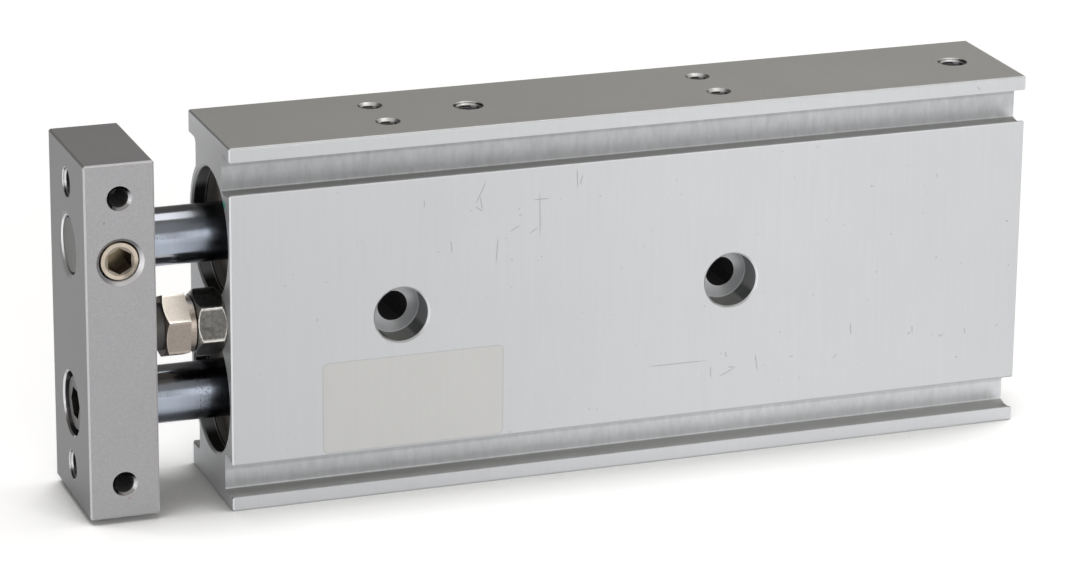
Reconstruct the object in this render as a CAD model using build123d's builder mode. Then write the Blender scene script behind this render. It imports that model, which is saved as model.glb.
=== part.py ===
from build123d import *
import os
from math import radians, sqrt, tan

os.makedirs("parts", exist_ok=True)

# A guided pneumatic cylinder: two 20 mm bores side by side in one extruded body, and two
# 10 mm rods that push one end plate 75 mm. It is drawn with the rods home.
# X runs along the stroke and the rods leave the body towards -X. Y runs through the body's
# depth with the switch grooves on its -Y face, and Z is up. The origin is under the middle
# of the overall outline, at the height of the body's lower edge.

# Driving sizes, in millimetres

stroke = 75.0
bore = 20.0
rod_diameter = 10.0
rod_spacing = 28.0

# Body extrusion
body_height = 64.0
bore_wall = 2.5             # metal in front of and behind each bore
groove_lip = 2.5            # rim above a switch groove
groove_mouth = 5.7          # opening of a switch groove in the front face
groove_depth = 4.6
groove_hook = 0.4           # straight land of the mouth before the groove widens
groove_rim_cove = 0.5       # how far the groove hollows out its rim
groove_face_cove = 0.75     # how far it hollows out the side towards the front face
groove_root = 0.4           # what is left of that hollow at the groove's back wall
back_lip = 4.1              # rim above the recess along the back
back_recess = 4.2
edge_round = 0.35
recess_round = 0.8
end_chamfer = 0.25          # around the sawn ends of the extrusion, but for its grooves

# Bore mouths, covers and retaining rings
seat_shoulder = 1.0         # step from a bore out to the seat of a cover's flange
mouth_chamfer = 0.4
rod_cover_recess = 3.7      # cover face below the body's end face
rod_cover_length = 39.7
rod_cover_flange = 4.0
head_cover_recess = 2.9
head_cover_thickness = 5.0
head_cover_flange = 3.5
ring_thickness = 1.2
ring_groove_depth = 0.5
ring_reach = 0.6            # how far a ring stands in from the seat
ring_gap_degrees = 16.0
seal_groove_depth = 2.2     # radial room for a rod seal
seal_length = 3.4
seal_land = 0.7             # thin lip that keeps the rod seal in
seal_land_depth = 1.5       # radial opening in front of the seal
grease_relief = 0.5
bearing_land = 9.0          # bearing length left at each end of a cover
o_ring_section = 1.2
o_ring_land = 2.0           # from a cover's shoulder to its ring groove
cover_chamfer = 0.5

# Pistons
piston_front_length = 4.8
piston_magnet_length = 3.4
piston_rear_length = 4.8
piston_hub_diameter = 12.0
piston_seal_width = 2.2
piston_seal_depth = 2.1
piston_rim = 1.3            # metal left at the end of each piston half beside its seal
guide_ring_thickness = 1.1
stud_diameter = 7.0
stud_thread = 6.0
piston_nut_flats = 10.0
piston_nut_height = 3.0
rod_bumper_length = 3.0
rod_bumper_diameter = 16.0
head_bumper_length = 2.5
head_bumper_diameter = 17.0

# End plate
plate_thickness = 12.0
plate_depth = 23.5
plate_height = 62.0
plate_chamfer = 0.3
home_gap = 12.5             # between plate and body with the rods home
plate_tap_spacing = 50.0
plate_side_tap_depth = 8.0
upper_rod_recess = 0.5      # upper rod's end below the plate's outer face
lower_rod_seat = 2.0        # depth of the pocket that the lower rod's end sits in
cap_head_diameter = 10.0
cap_head_height = 6.0
cap_head_recess = 0.7
cap_head_room = 0.5         # radial room around the cap screw's head
cap_screw_thread = 6.0
cap_screw_grip = 14.0       # length of the screw inside the rod
cap_socket_flats = 5.0
cap_socket_depth = 3.0
clamp_tap = 6.8             # an M8 screw and its tapped hole, at the thread's inner diameter
clamp_mouth = 8.2
clamp_screw_recess = 0.6
clamp_screw_chamfer = 0.2
clamp_socket_flats = 4.0
clamp_socket_depth = 3.2
clamp_socket_turn = 30.0    # so that two of its corners stand above and below
rod_end_chamfer = 0.4
plate_hole_rim = 0.5        # chamfer around the upper rod's hole

# Stroke adjuster between the rods
adjuster_forward = 5.5      # its axis in front of the rods' plane
adjuster_thread = 6.0
hex_flats = 10.0
nut_height = 5.0
nut_head_gap = 0.2
head_collar_diameter = 9.4
head_collar_thickness = 1.1
head_height = 4.2
head_turn = 22.0            # degrees from -Y up to one corner of the bolt's head
nut_turn = 41.5
adjuster_grip = 15.0        # thread inside the body
pad_diameter = 8.0
pad_seat = 1.2              # depth of the pad's pocket in the bolt's head
head_chamfer_degrees = 30.0
nut_chamfer_degrees = 42.0

# Mounting holes and ports
mount_first = 30.0          # from the body's rod end
mount_spacing = 60.0
mount_hole_diameter = 5.3
mount_counterbore = 9.5
mount_counterbore_depth = 5.3
mount_rim = 0.3
side_tap_spacing = 10.0
side_tap_depth = 6.0
m4_tap = 3.3
m4_mouth = 4.3
m5_tap = 4.2
m5_mouth = 5.3
port_depth = 5.0
port_passage = 2.5
rod_port_inset = 2.6        # port axis past the rod cover's inner end
head_port_inset = 0.6       # port axis before the head cover's inner end
plug_length = 3.8
plug_recess = 0.6
plug_socket_flats = 2.5
plug_socket_depth = 1.8

# Clearances
running_fit = 0.02          # rod in its bearing
seal_fit = 0.03             # a seal's lip on the surface it wipes
piston_fit = 0.06
seat_fit = 0.02             # pieces that stay put in their seats
thread_fit = 0.025
groove_play = 0.1           # beside a retaining ring in its groove
end_gap = 0.1               # before a bumper meets what stops it

# Stations along the stroke, from the body's rod-end face

rod_cover_face = rod_cover_recess
rod_cover_shoulder = rod_cover_face + rod_cover_flange
rod_cover_end = rod_cover_face + rod_cover_length
piston_length = piston_front_length + piston_magnet_length + piston_rear_length
rod_bumper_start = rod_cover_end + end_gap + stroke
piston_start = rod_bumper_start + rod_bumper_length
magnet_start = piston_start + piston_front_length
piston_rear_start = magnet_start + piston_magnet_length
piston_end = piston_start + piston_length
piston_nut_start = piston_end - piston_nut_height - end_gap
head_cover_start = piston_end + head_bumper_length + end_gap
head_cover_face = head_cover_start + head_cover_thickness
head_cover_shoulder = head_cover_face - head_cover_flange
body_length = head_cover_face + head_cover_recess
plate_inner = -home_gap
plate_outer = -home_gap - plate_thickness
rod_port = rod_cover_end + rod_port_inset
head_port = head_cover_start - head_port_inset
mount_stations = (mount_first, mount_first + mount_spacing)

# Places in the part's own frame
overall_length = body_length - plate_outer
rod_end_x = overall_length / 2 - body_length
middle_z = body_height / 2
sides = (("upper", middle_z + rod_spacing / 2), ("lower", middle_z - rod_spacing / 2))
upper_z = sides[0][1]
lower_z = sides[1][1]
plate_middle_x = rod_end_x + plate_inner - plate_thickness / 2

# Radii that several pieces share
bore_r = bore / 2
rod_r = rod_diameter / 2
seat_r = bore_r + seat_shoulder
bearing_r = rod_r + running_fit
ring_groove_r = seat_r + ring_groove_depth
hub_r = piston_hub_diameter / 2
piston_r = bore_r - piston_fit


def rod_plane(height):
    """Plane through a rod's axis: x is the station along the stroke and y the radius."""
    return Plane(origin=(rod_end_x, 0, height), x_dir=(1, 0, 0), z_dir=(0, 0, -1))


def rod_axis(height):
    return Axis((0, 0, height), (1, 0, 0))


def band(start, end, inner_r, outer_r, mode=Mode.ADD):
    """Rectangle between two stations and two radii, in the current sketch."""
    with Locations(((start + end) / 2, (inner_r + outer_r) / 2)):
        Rectangle(end - start, outer_r - inner_r, mode=mode)


def mouth(x, y, z, facing):
    """Place of a hole whose mouth is at a point and looks along facing."""
    return Plane(origin=(x, y, z), z_dir=facing).location


def rims(part, radius):
    """Circular edges of one radius."""
    circles = part.edges().filter_by(GeomType.CIRCLE)
    return circles.filter_by(lambda edge: abs(edge.radius - radius) < 0.001)


# Body: one aluminium extrusion, drilled and bored. The front has two switch grooves with
# hooked mouths. The back is rounded about each bore between two rims.
back_y = bore_r + bore_wall
front_y = -back_y
rim_edge = middle_z - groove_lip
face_edge = rim_edge - groove_mouth
groove_wall_y = front_y + groove_depth
recess_wall_y = back_y - back_recess
bore_offset = rod_spacing / 2
curve_top = bore_offset + sqrt(back_y**2 - recess_wall_y**2)

with BuildPart() as housing:
    with BuildSketch(Plane(origin=(rod_end_x, 0, middle_z), x_dir=(0, 1, 0), z_dir=(1, 0, 0))):
        with BuildLine():
            Line((front_y, 0), (front_y, face_edge))
            Line((front_y, face_edge), (front_y + groove_hook, face_edge))
            ThreePointArc(
                (front_y + groove_hook, face_edge),
                (front_y + groove_depth / 2, face_edge - groove_face_cove),
                (groove_wall_y, face_edge - groove_root),
            )
            Line((groove_wall_y, face_edge - groove_root), (groove_wall_y, rim_edge))
            ThreePointArc(
                (groove_wall_y, rim_edge),
                (front_y + groove_depth / 2, rim_edge + groove_rim_cove),
                (front_y + groove_hook, rim_edge),
            )
            Polyline(
                (front_y + groove_hook, rim_edge),
                (front_y, rim_edge),
                (front_y, middle_z),
                (back_y, middle_z),
                (back_y, middle_z - back_lip),
                (recess_wall_y, middle_z - back_lip),
                (recess_wall_y, curve_top),
            )
            RadiusArc((recess_wall_y, curve_top), (back_y, bore_offset), back_y)
            Line((back_y, bore_offset), (back_y, 0))
            mirror(about=Plane.XZ)
        make_face()
        corners = vertices().filter_by(lambda v: abs(abs(v.Y) - middle_z) < 0.001)
        fillet(corners, radius=edge_round)
        roots = vertices().filter_by(
            lambda v: abs(v.X - recess_wall_y) < 0.001 and abs(abs(v.Y) - middle_z + back_lip) < 0.001
        )
        fillet(roots, radius=recess_round)
    extrude(amount=body_length)
    # The sawn ends are broken all round, except inside the grooves.
    ends = housing.faces().sort_by(Axis.X)
    outline = (ends[0].edges() + ends[-1].edges()).filter_by(
        lambda e: e.center().Y < front_y + groove_hook or e.center().Y > groove_wall_y + edge_round
    )
    chamfer(outline, length=end_chamfer)

    for side, height in sides:
        with BuildSketch(rod_plane(height)):
            band(0, body_length, 0, bore_r)
            band(0, rod_cover_shoulder, 0, seat_r)
            band(head_cover_shoulder, body_length, 0, seat_r)
            band(rod_cover_face - ring_thickness - groove_play, rod_cover_face, 0, ring_groove_r)
            band(head_cover_face, head_cover_face + ring_thickness + groove_play, 0, ring_groove_r)
        revolve(axis=rod_axis(height), mode=Mode.SUBTRACT)
    seat_rims = rims(housing, seat_r).group_by(Axis.X)
    chamfer(seat_rims[0] + seat_rims[-1], length=mouth_chamfer)

    # Counterbored mounting holes go through the web between the bores, from both faces.
    for facing, y in (((0, -1, 0), front_y), ((0, 1, 0), back_y)):
        with Locations(*[mouth(rod_end_x + x, y, middle_z, facing) for x in mount_stations]):
            CounterBoreHole(mount_hole_diameter / 2, mount_counterbore / 2, mount_counterbore_depth)
    counterbore_rims = rims(housing, mount_counterbore / 2).group_by(Axis.Y)
    chamfer(counterbore_rims[0] + counterbore_rims[-1], length=mount_rim)

    # The upper and lower edges have the same tapped holes and ports.
    for facing, z in (((0, 0, 1), body_height), ((0, 0, -1), 0)):
        tap_places = [
            mouth(rod_end_x + x, y, z, facing)
            for x in mount_stations
            for y in (-side_tap_spacing / 2, side_tap_spacing / 2)
        ]
        with Locations(*tap_places):
            CounterSinkHole(m4_tap / 2, m4_mouth / 2, side_tap_depth, 90)
        with Locations(*[mouth(rod_end_x + x, 0, z, facing) for x in (rod_port, head_port)]):
            CounterSinkHole(m5_tap / 2, m5_mouth / 2, port_depth, 90)
    # One drilling behind each port joins it to both bores.
    with Locations(*[mouth(rod_end_x + x, 0, body_height, (0, 0, 1)) for x in (rod_port, head_port)]):
        Hole(port_passage / 2)

    # Tapped hole for the stroke adjuster, beside the web where the bores leave most metal
    adjuster_y = -adjuster_forward
    with Locations(mouth(rod_end_x, adjuster_y, middle_z, (-1, 0, 0))):
        Hole(adjuster_thread / 2 + thread_fit, adjuster_grip + end_gap)
housing.part.label = "housing"
export_step(housing.part, "parts/housing.step")


for side, height in sides:
    # Rod cover: a long bearing-metal sleeve with a flange against the seat's shoulder, a
    # pocket for the rod seal behind a thin lip, and a grease relief between its two bearings
    seal_start = rod_cover_face + seal_land
    bearing_start = seal_start + seal_length
    o_ring_start = rod_cover_shoulder + o_ring_land
    with BuildPart() as rod_cover:
        with BuildSketch(rod_plane(height)):
            band(rod_cover_face, rod_cover_shoulder, bearing_r, seat_r - seat_fit)
            band(rod_cover_shoulder, rod_cover_end, bearing_r, bore_r - seat_fit)
            band(rod_cover_face, seal_start, bearing_r, rod_r + seal_land_depth, Mode.SUBTRACT)
            band(seal_start, bearing_start, bearing_r, rod_r + seal_groove_depth, Mode.SUBTRACT)
            band(
                bearing_start + bearing_land,
                rod_cover_end - bearing_land,
                bearing_r,
                bearing_r + grease_relief,
                Mode.SUBTRACT,
            )
            band(
                o_ring_start,
                o_ring_start + o_ring_section,
                bore_r - o_ring_section,
                bore_r,
                Mode.SUBTRACT,
            )
        revolve(axis=rod_axis(height))
        outer_end = rims(rod_cover, bore_r - seat_fit).group_by(Axis.X)[-1]
        chamfer(outer_end, length=cover_chamfer)
    rod_cover.part.label = f"rod_cover_{side}"
    export_step(rod_cover.part, f"parts/rod_cover_{side}.step")

    # Rod seal: a snap-in cup whose lips open towards the pressure
    lip_mouth = seal_length / 2
    with BuildPart() as rod_seal:
        with BuildSketch(rod_plane(height)):
            band(
                seal_start + seat_fit,
                bearing_start - seat_fit,
                rod_r + seal_fit,
                rod_r + seal_groove_depth - seat_fit,
            )
            band(
                bearing_start - lip_mouth,
                bearing_start,
                rod_r + seal_groove_depth * 0.35,
                rod_r + seal_groove_depth * 0.65,
                Mode.SUBTRACT,
            )
        revolve(axis=rod_axis(height))
    rod_seal.part.label = f"rod_seal_{side}"
    export_step(rod_seal.part, f"parts/rod_seal_{side}.step")

    o_ring_r = o_ring_section / 2 - seat_fit
    with BuildPart() as rod_cover_o_ring:
        with BuildSketch(rod_plane(height)):
            with Locations((o_ring_start + o_ring_section / 2, bore_r - o_ring_section / 2)):
                Circle(o_ring_r)
        revolve(axis=rod_axis(height))
    rod_cover_o_ring.part.label = f"rod_cover_o_ring_{side}"
    export_step(rod_cover_o_ring.part, f"parts/rod_cover_o_ring_{side}.step")

    # Retaining rings: open spring rings in the grooves outside the two covers
    with BuildPart() as rod_cover_ring:
        with BuildSketch(rod_plane(height)):
            band(
                rod_cover_face - ring_thickness,
                rod_cover_face,
                seat_r - ring_reach,
                ring_groove_r - seat_fit,
            )
        revolve(axis=rod_axis(height), revolution_arc=360 - ring_gap_degrees)
    rod_cover_ring.part.label = f"rod_cover_ring_{side}"
    export_step(rod_cover_ring.part, f"parts/rod_cover_ring_{side}.step")

    with BuildPart() as head_cover_ring:
        with BuildSketch(rod_plane(height)):
            band(
                head_cover_face,
                head_cover_face + ring_thickness,
                seat_r - ring_reach,
                ring_groove_r - seat_fit,
            )
        revolve(axis=rod_axis(height), revolution_arc=360 - ring_gap_degrees)
    head_cover_ring.part.label = f"head_cover_ring_{side}"
    export_step(head_cover_ring.part, f"parts/head_cover_ring_{side}.step")

    # Head cover: a flanged disc that closes the far end of the bore
    head_o_ring_middle = head_cover_face - head_cover_flange / 2
    with BuildPart() as head_cover:
        with BuildSketch(rod_plane(height)):
            band(head_cover_start, head_cover_face, 0, bore_r - seat_fit)
            band(head_cover_shoulder, head_cover_face, 0, seat_r - seat_fit)
            band(
                head_o_ring_middle - o_ring_section / 2,
                head_o_ring_middle + o_ring_section / 2,
                seat_r - o_ring_section,
                seat_r,
                Mode.SUBTRACT,
            )
        revolve(axis=rod_axis(height))
        chamfer(rims(head_cover, bore_r - seat_fit).group_by(Axis.X)[0], length=cover_chamfer)
    head_cover.part.label = f"head_cover_{side}"
    export_step(head_cover.part, f"parts/head_cover_{side}.step")

    with BuildPart() as head_cover_o_ring:
        with BuildSketch(rod_plane(height)):
            with Locations((head_o_ring_middle, seat_r - o_ring_section / 2)):
                Circle(o_ring_r)
        revolve(axis=rod_axis(height))
    head_cover_o_ring.part.label = f"head_cover_o_ring_{side}"
    export_step(head_cover_o_ring.part, f"parts/head_cover_o_ring_{side}.step")

    # Piston: a front and a rear half clamp the magnet between them. Each half has a seal
    # groove, and a guide ring runs around the magnet.
    front_seal_start = piston_start + piston_rim
    rear_seal_end = piston_end - piston_rim
    seal_floor_r = bore_r - piston_seal_depth
    magnet_outer_r = bore_r - guide_ring_thickness
    stud_r = stud_diameter / 2 + seat_fit
    with BuildPart() as piston_front:
        with BuildSketch(rod_plane(height)):
            band(piston_start, magnet_start, stud_r, piston_r)
            band(
                front_seal_start,
                front_seal_start + piston_seal_width,
                seal_floor_r,
                bore_r,
                Mode.SUBTRACT,
            )
        revolve(axis=rod_axis(height))
    piston_front.part.label = f"piston_front_{side}"
    export_step(piston_front.part, f"parts/piston_front_{side}.step")

    nut_corner_r = piston_nut_flats / sqrt(3)
    with BuildPart() as piston_rear:
        with BuildSketch(rod_plane(height)):
            band(piston_rear_start, piston_end, stud_r, piston_r)
            band(magnet_start + seat_fit, piston_rear_start, stud_r, hub_r)
            band(
                rear_seal_end - piston_seal_width,
                rear_seal_end,
                seal_floor_r,
                bore_r,
                Mode.SUBTRACT,
            )
            band(piston_nut_start, piston_end, 0, nut_corner_r + cover_chamfer, Mode.SUBTRACT)
        revolve(axis=rod_axis(height))
    piston_rear.part.label = f"piston_rear_{side}"
    export_step(piston_rear.part, f"parts/piston_rear_{side}.step")

    with BuildPart() as piston_magnet:
        with BuildSketch(rod_plane(height)):
            band(
                magnet_start + seat_fit,
                piston_rear_start - seat_fit,
                hub_r + seat_fit,
                magnet_outer_r - seat_fit,
            )
        revolve(axis=rod_axis(height))
    piston_magnet.part.label = f"piston_magnet_{side}"
    export_step(piston_magnet.part, f"parts/piston_magnet_{side}.step")

    with BuildPart() as guide_ring:
        with BuildSketch(rod_plane(height)):
            band(
                magnet_start + seat_fit,
                piston_rear_start - seat_fit,
                magnet_outer_r,
                bore_r - seal_fit,
            )
        revolve(axis=rod_axis(height))
    guide_ring.part.label = f"guide_ring_{side}"
    export_step(guide_ring.part, f"parts/guide_ring_{side}.step")

    # Two seals on each piston, one for each direction, with a narrow rounded crown
    with BuildPart() as piston_seals:
        for seal_start_x in (front_seal_start, rear_seal_end - piston_seal_width):
            with BuildSketch(rod_plane(height)):
                band(
                    seal_start_x + seat_fit,
                    seal_start_x + piston_seal_width - seat_fit,
                    seal_floor_r + seat_fit,
                    bore_r - seal_fit,
                )
            revolve(axis=rod_axis(height))
        chamfer(rims(piston_seals, bore_r - seal_fit), length=piston_seal_width / 5)
    piston_seals.part.label = f"piston_seals_{side}"
    export_step(piston_seals.part, f"parts/piston_seals_{side}.step")

    with BuildPart() as piston_nut:
        nut_plane = Plane(
            origin=(rod_end_x + piston_nut_start, 0, height), x_dir=(0, 1, 0), z_dir=(1, 0, 0)
        )
        with BuildSketch(nut_plane):
            RegularPolygon(piston_nut_flats / 2, 6, major_radius=False)
            Circle(stud_thread / 2 + thread_fit, mode=Mode.SUBTRACT)
        extrude(amount=piston_nut_height)
    piston_nut.part.label = f"piston_nut_{side}"
    export_step(piston_nut.part, f"parts/piston_nut_{side}.step")

    # Bumpers: a rubber ring in front of the piston and another on its rear face
    with BuildPart() as rod_bumper:
        with BuildSketch(rod_plane(height)):
            band(rod_bumper_start, piston_start, rod_r + seat_fit, rod_bumper_diameter / 2)
        revolve(axis=rod_axis(height))
        chamfer(rims(rod_bumper, rod_bumper_diameter / 2).group_by(Axis.X)[0], length=cover_chamfer)
    rod_bumper.part.label = f"rod_bumper_{side}"
    export_step(rod_bumper.part, f"parts/rod_bumper_{side}.step")

    with BuildPart() as head_bumper:
        with BuildSketch(rod_plane(height)):
            band(
                piston_end,
                piston_end + head_bumper_length,
                nut_corner_r + cover_chamfer,
                head_bumper_diameter / 2,
            )
        revolve(axis=rod_axis(height))
        chamfer(rims(head_bumper, head_bumper_diameter / 2).group_by(Axis.X)[-1], length=cover_chamfer)
    head_bumper.part.label = f"head_bumper_{side}"
    export_step(head_bumper.part, f"parts/head_bumper_{side}.step")

    # Rod: the upper one goes through the plate, where a screw clamps it. The lower one
    # sits in a pocket and is drawn up by a screw in its end.
    outer_end = plate_outer + upper_rod_recess if side == "upper" else plate_inner - lower_rod_seat
    with BuildPart() as piston_rod:
        with BuildSketch(rod_plane(height)):
            band(outer_end, piston_start, 0, rod_r)
            band(piston_start, piston_nut_start, 0, stud_diameter / 2)
            band(piston_nut_start, piston_nut_start + piston_nut_height, 0, stud_thread / 2)
            if side == "lower":
                screw_hole_r = cap_screw_thread / 2 + thread_fit
                band(outer_end, outer_end + cap_screw_grip + end_gap, 0, screw_hole_r, Mode.SUBTRACT)
        revolve(axis=rod_axis(height))
        chamfer(rims(piston_rod, rod_r).group_by(Axis.X)[0], length=rod_end_chamfer)
    piston_rod.part.label = f"piston_rod_{side}"
    export_step(piston_rod.part, f"parts/piston_rod_{side}.step")


# End plate: a block that carries both rods, tapped on its outer face and its front edge
plate_front_y = -plate_depth / 2
plate_outer_x = rod_end_x + plate_outer
counterbore_depth = cap_head_height + cap_head_recess
with BuildPart() as end_plate:
    with Locations((plate_middle_x, 0, middle_z)):
        Box(plate_thickness, plate_depth, plate_height)
    chamfer(end_plate.edges(), length=plate_chamfer)
    with Locations(mouth(plate_outer_x, 0, upper_z, (-1, 0, 0))):
        CounterSinkHole(rod_r + seat_fit, rod_r + plate_hole_rim, plate_thickness, 90)
    with Locations(mouth(plate_outer_x, 0, lower_z, (-1, 0, 0))):
        CounterBoreHole(
            cap_screw_thread / 2 + cap_head_room / 2,
            cap_head_diameter / 2 + cap_head_room,
            counterbore_depth,
            plate_thickness,
        )
    with Locations(mouth(plate_outer_x + plate_thickness, 0, lower_z, (1, 0, 0))):
        Hole(rod_r + seat_fit, lower_rod_seat)
    counterbore_rim = rims(end_plate, cap_head_diameter / 2 + cap_head_room).group_by(Axis.X)[0]
    chamfer(counterbore_rim, length=mount_rim)
    plate_tap_heights = (middle_z - plate_tap_spacing / 2, middle_z + plate_tap_spacing / 2)
    with Locations(*[mouth(plate_outer_x, 0, z, (-1, 0, 0)) for z in plate_tap_heights]):
        CounterSinkHole(m5_tap / 2, m5_mouth / 2, plate_thickness, 90)
    with Locations(*[mouth(plate_middle_x, plate_front_y, z, (0, -1, 0)) for z in plate_tap_heights]):
        CounterSinkHole(m4_tap / 2, m4_mouth / 2, plate_side_tap_depth, 90)
    with Locations(mouth(plate_middle_x, plate_front_y, upper_z, (0, -1, 0))):
        CounterSinkHole(clamp_tap / 2, clamp_mouth / 2, plate_depth / 2, 90)
end_plate.part.label = "end_plate"
export_step(end_plate.part, "parts/end_plate.step")


# Clamp screw: a headless screw whose flat point bears on the upper rod
clamp_face_y = plate_front_y + clamp_screw_recess
clamp_length = -rod_r - seat_fit - clamp_face_y
clamp_plane = Plane(origin=(plate_middle_x, clamp_face_y, upper_z), x_dir=(1, 0, 0), z_dir=(0, 1, 0))
with BuildPart() as rod_clamp_screw:
    with BuildSketch(clamp_plane):
        Circle(clamp_tap / 2 - thread_fit)
    extrude(amount=clamp_length)
    chamfer(rims(rod_clamp_screw, clamp_tap / 2 - thread_fit), length=clamp_screw_chamfer)
    with BuildSketch(clamp_plane):
        RegularPolygon(clamp_socket_flats / 2, 6, major_radius=False, rotation=clamp_socket_turn)
    extrude(amount=clamp_socket_depth, mode=Mode.SUBTRACT)
rod_clamp_screw.part.label = "rod_clamp_screw"
export_step(rod_clamp_screw.part, "parts/rod_clamp_screw.step")


# Cap screw: sunk in the plate, it draws the lower rod into its pocket
cap_face = plate_outer + cap_head_recess
cap_end = plate_inner - lower_rod_seat + cap_screw_grip
cap_plane = Plane(
    origin=(rod_end_x + cap_face, 0, lower_z), x_dir=(0, 1, 0), z_dir=(1, 0, 0)
)
with BuildPart() as rod_cap_screw:
    with BuildSketch(rod_plane(lower_z)):
        band(cap_face, cap_face + cap_head_height, 0, cap_head_diameter / 2)
        band(cap_face, cap_end, 0, cap_screw_thread / 2)
    revolve(axis=rod_axis(lower_z))
    chamfer(rims(rod_cap_screw, cap_head_diameter / 2).group_by(Axis.X)[0], length=cap_head_room)
    with BuildSketch(cap_plane):
        RegularPolygon(cap_socket_flats / 2, 6, major_radius=False)
    extrude(amount=cap_socket_depth, mode=Mode.SUBTRACT)
rod_cap_screw.part.label = "rod_cap_screw"
export_step(rod_cap_screw.part, "parts/rod_cap_screw.step")


# Stroke adjuster: a hexagon bolt in the body's end, locked by a nut. The plate comes home
# against the rubber pad in the bolt's head.
def adjuster_plane(distance):
    """Plane that faces -X at a distance in front of the body: x is -Y and y is Z."""
    origin = (rod_end_x - distance, adjuster_y, middle_z)
    return Plane(origin=origin, x_dir=(0, -1, 0), z_dir=(-1, 0, 0))


def turned_outline(height, near_r, chamfer_degrees):
    """Half section of a hexagon block of one height, its corners turned off at the far end."""
    corner_r = hex_flats / sqrt(3) + end_gap
    relief = (corner_r - hex_flats / 2) * tan(radians(chamfer_degrees))
    Polygon(
        (0, 0),
        (height, 0),
        (height, hex_flats / 2),
        (height - relief, corner_r),
        (relief, corner_r),
        (0, near_r),
        align=None,
    )


def turned_plane(distance):
    """Plane through the adjuster's axis: x runs away from the body and y is the radius."""
    origin = (rod_end_x - distance, adjuster_y, middle_z)
    return Plane(origin=origin, x_dir=(-1, 0, 0), z_dir=(0, 0, 1))


adjuster_axis = Axis((0, adjuster_y, middle_z), (-1, 0, 0))
collar_start = nut_height + nut_head_gap
head_start = collar_start + head_collar_thickness
pad_start = head_start + head_height - pad_seat

with BuildPart() as adjuster_nut:
    with BuildSketch(adjuster_plane(0)):
        RegularPolygon(hex_flats / 2, 6, major_radius=False, rotation=nut_turn)
    extrude(amount=nut_height)
    with BuildSketch(turned_plane(0)):
        turned_outline(nut_height, hex_flats / 2, nut_chamfer_degrees)
    revolve(axis=adjuster_axis, mode=Mode.INTERSECT)
    with BuildSketch(adjuster_plane(0)):
        Circle(adjuster_thread / 2 + thread_fit)
    extrude(amount=nut_height, mode=Mode.SUBTRACT)
adjuster_nut.part.label = "adjuster_nut"
export_step(adjuster_nut.part, "parts/adjuster_nut.step")

with BuildPart() as adjuster_bolt:
    with BuildSketch(adjuster_plane(head_start)):
        RegularPolygon(hex_flats / 2, 6, major_radius=False, rotation=head_turn)
    extrude(amount=head_height)
    with BuildSketch(turned_plane(head_start)):
        turned_outline(head_height, hex_flats / sqrt(3) + end_gap, head_chamfer_degrees)
    revolve(axis=adjuster_axis, mode=Mode.INTERSECT)
    with BuildSketch(adjuster_plane(collar_start)):
        Circle(head_collar_diameter / 2)
    extrude(amount=head_collar_thickness)
    with BuildSketch(adjuster_plane(-adjuster_grip)):
        Circle(adjuster_thread / 2)
    extrude(amount=adjuster_grip + collar_start)
    with BuildSketch(adjuster_plane(pad_start)):
        Circle(pad_diameter / 2 + seat_fit)
    extrude(amount=pad_seat, mode=Mode.SUBTRACT)
adjuster_bolt.part.label = "adjuster_bolt"
export_step(adjuster_bolt.part, "parts/adjuster_bolt.step")

with BuildPart() as adjuster_pad:
    with BuildSketch(adjuster_plane(pad_start)):
        Circle(pad_diameter / 2)
    extrude(amount=home_gap - end_gap - pad_start)
    chamfer(rims(adjuster_pad, pad_diameter / 2).group_by(Axis.X)[0], length=mount_rim)
adjuster_pad.part.label = "adjuster_pad"
export_step(adjuster_pad.part, "parts/adjuster_pad.step")


# Plugs close the two ports on the lower edge, so the upper ones are free for air.
with BuildPart() as port_plugs:
    for x in (rod_port, head_port):
        plug_plane = Plane(origin=(rod_end_x + x, 0, plug_recess), x_dir=(1, 0, 0), z_dir=(0, 0, 1))
        with BuildSketch(plug_plane):
            Circle(m5_tap / 2 - seat_fit)
        extrude(amount=plug_length)
        with BuildSketch(plug_plane):
            RegularPolygon(plug_socket_flats / 2, 6, major_radius=False)
        extrude(amount=plug_socket_depth, mode=Mode.SUBTRACT)
port_plugs.part.label = "port_plugs"
export_step(port_plugs.part, "parts/port_plugs.step")
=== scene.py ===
from math import pi, radians, tan

import bmesh
import bpy
from mathutils import Matrix, Vector


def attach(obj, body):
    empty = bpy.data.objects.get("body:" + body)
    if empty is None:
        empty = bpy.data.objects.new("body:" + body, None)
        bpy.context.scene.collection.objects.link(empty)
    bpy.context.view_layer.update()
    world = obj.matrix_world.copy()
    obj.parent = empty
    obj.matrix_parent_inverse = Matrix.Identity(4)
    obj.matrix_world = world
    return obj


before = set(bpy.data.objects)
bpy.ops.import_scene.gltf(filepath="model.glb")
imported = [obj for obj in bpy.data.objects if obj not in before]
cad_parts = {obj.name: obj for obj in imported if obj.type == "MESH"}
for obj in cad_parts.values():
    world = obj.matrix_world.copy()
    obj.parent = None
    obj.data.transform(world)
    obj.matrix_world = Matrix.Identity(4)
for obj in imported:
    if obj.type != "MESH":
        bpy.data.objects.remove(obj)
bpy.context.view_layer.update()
scene = bpy.context.scene
scene.view_settings.view_transform = "Standard"
mm = 0.001


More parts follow.
